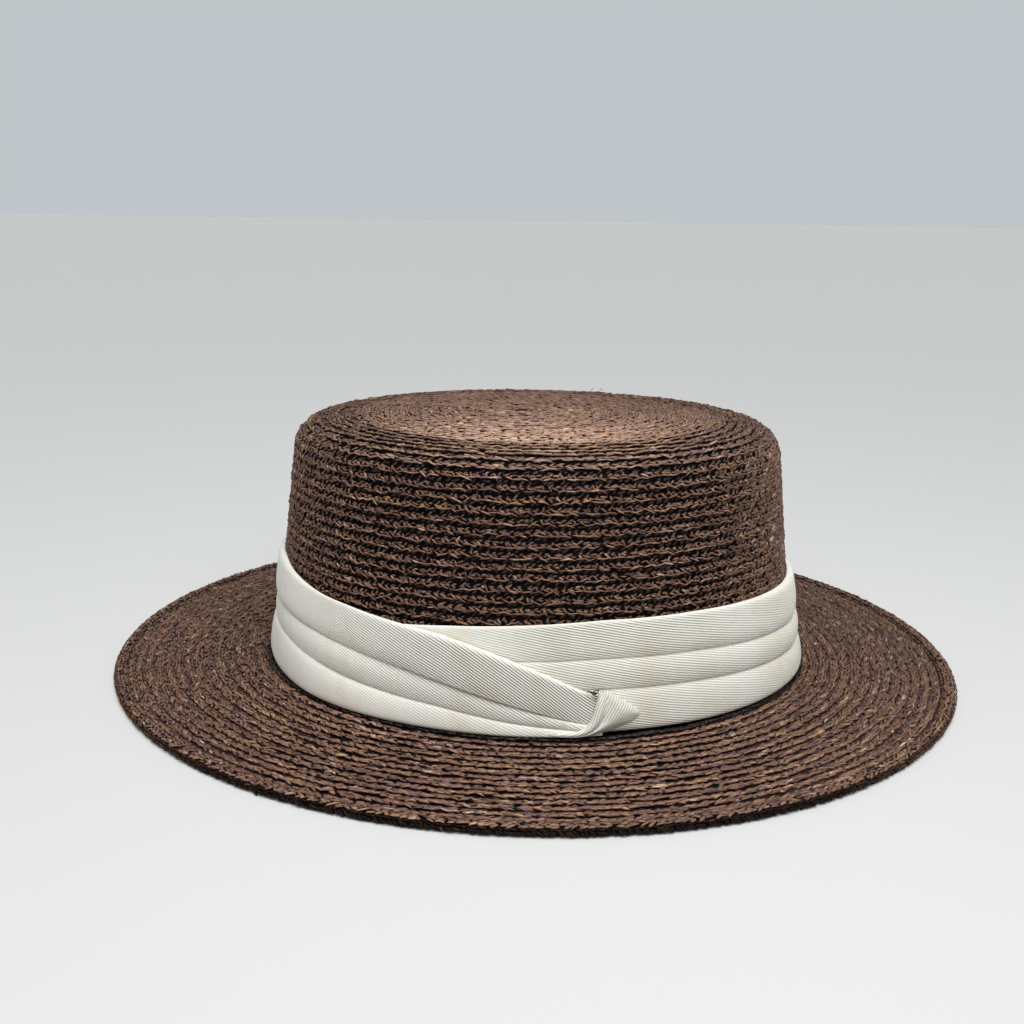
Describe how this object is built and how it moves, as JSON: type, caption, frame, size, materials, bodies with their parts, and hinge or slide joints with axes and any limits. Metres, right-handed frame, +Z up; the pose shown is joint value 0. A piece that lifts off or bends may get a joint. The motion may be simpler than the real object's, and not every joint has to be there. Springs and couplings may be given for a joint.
{
  "type": "straw boater hat",
  "caption": "Straw boater hat: flat-topped oval crown of sewn braid on a flat stiff brim, with a pleated cloth band that crosses and knots at one side; worn on the head for shade.",
  "frame": {"origin": "middle of the brim's underside, on the surface the hat lies on", "axes": "+X along the long axis of the oval, -Y towards the side of the band with the knot, +Z up through the crown"},
  "size_m": [0.319, 0.2912, 0.0945],
  "materials": {
    "straw": "sewn rows of plaited straw dyed dark brown, dull with a faint sheen",
    "band_cloth": "matt ivory twill with fine slanting ribs"
  },
  "bodies": {
    "root": {"crown": "straw", "brim": "straw", "band": "band_cloth", "band_knot": "band_cloth"}
  },
  "joints": []
}
